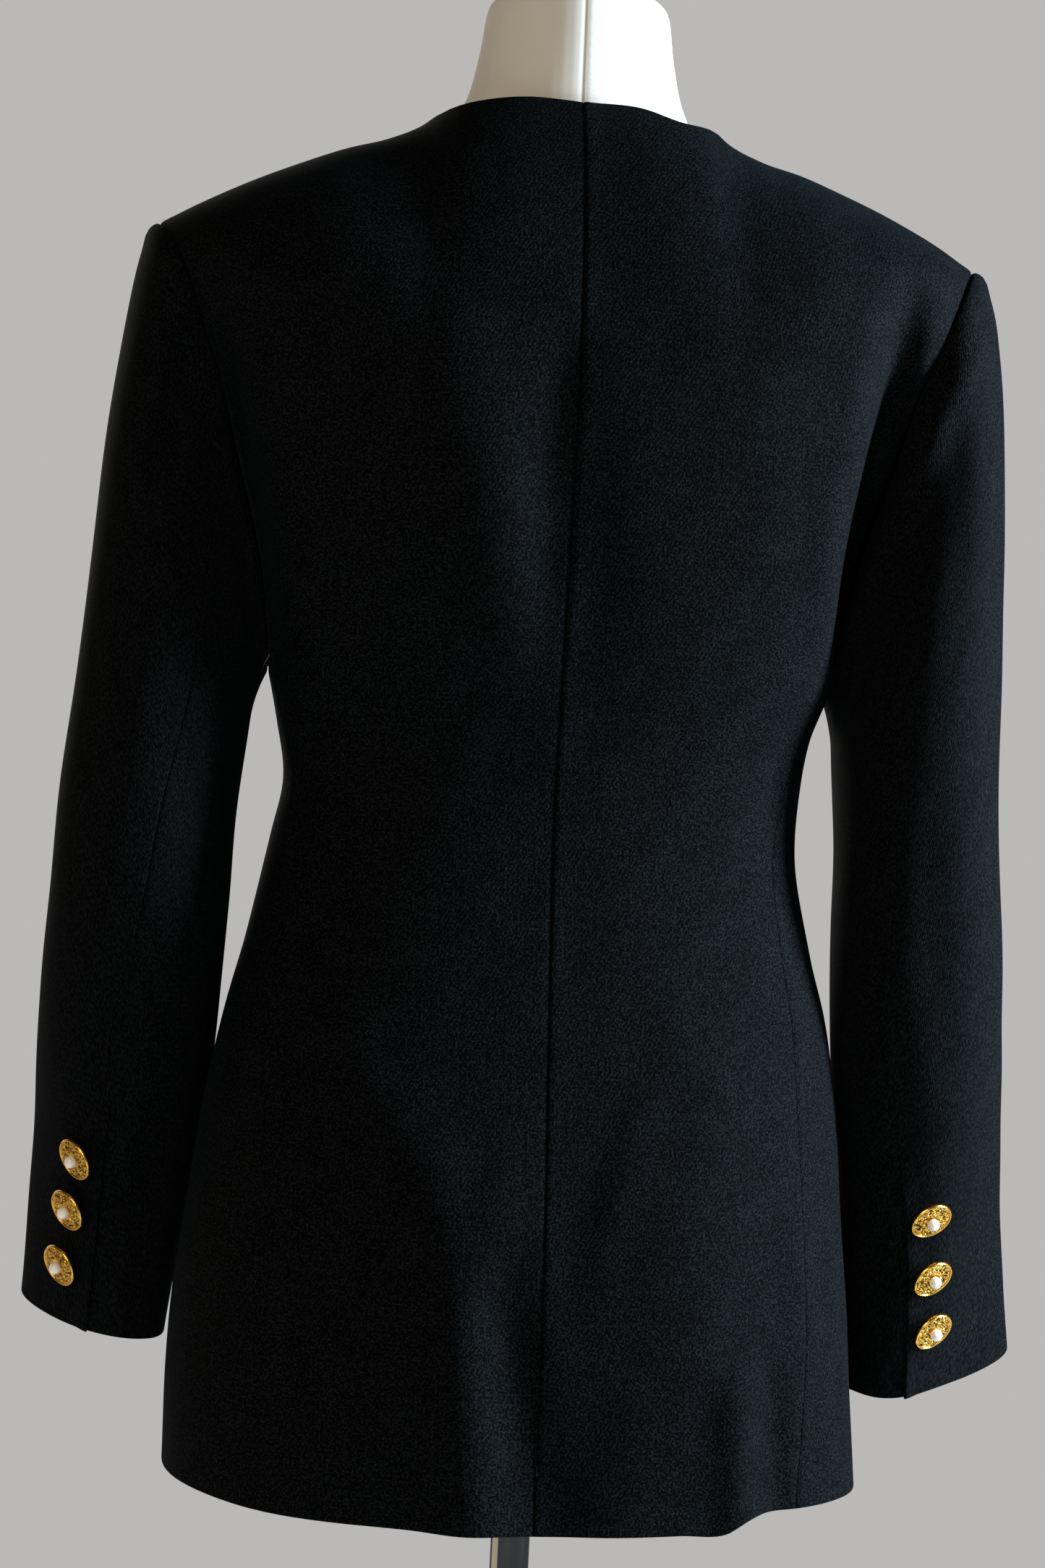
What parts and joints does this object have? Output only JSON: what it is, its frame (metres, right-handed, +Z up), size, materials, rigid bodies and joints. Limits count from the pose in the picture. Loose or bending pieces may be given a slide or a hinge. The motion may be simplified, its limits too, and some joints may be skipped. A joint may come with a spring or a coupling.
{
  "type": "cocktail jacket on a dress form",
  "caption": "Collarless black wool cocktail jacket with padded shoulders and pearl-set gold buttons at the cuffs, worn on a dress form with a pole and a round base.",
  "frame": {"origin": "on the floor in the middle of the base's underside, on the pole's axis", "axes": "+Z up along the pole; the jacket's front faces -Y; the wearer's left is +X"},
  "size_m": [0.56, 0.33, 1.502],
  "materials": {
    "wool": "fine wool twill with a low matt nap",
    "jersey": "plain knitted cotton, matt",
    "gold": "polished gold-coloured metal with a nugget texture",
    "pearl": "imitation pearl, softly glossy",
    "chrome": "bright plated"
  },
  "bodies": {
    "root": {"back_left": "wool", "back_right": "wool", "front_left": "wool", "front_right": "wool", "side_left": "wool", "side_right": "wool", "top_sleeve_left": "wool", "top_sleeve_right": "wool", "under_sleeve_left": "wool", "under_sleeve_right": "wool", "button_left_cuff_1": "gold", "button_left_cuff_2": "gold", "button_left_cuff_3": "gold", "button_right_cuff_1": "gold", "button_right_cuff_2": "gold", "button_right_cuff_3": "gold", "button_front_1": "gold", "button_front_2": "gold", "button_front_3": "gold", "pearl_left_cuff_1": "pearl", "pearl_left_cuff_2": "pearl", "pearl_left_cuff_3": "pearl", "pearl_right_cuff_1": "pearl", "pearl_right_cuff_2": "pearl", "pearl_right_cuff_3": "pearl", "pearl_front_1": "pearl", "pearl_front_2": "pearl", "pearl_front_3": "pearl", "dress_form": "jersey", "pole": "chrome", "base": "chrome"}
  },
  "joints": []
}
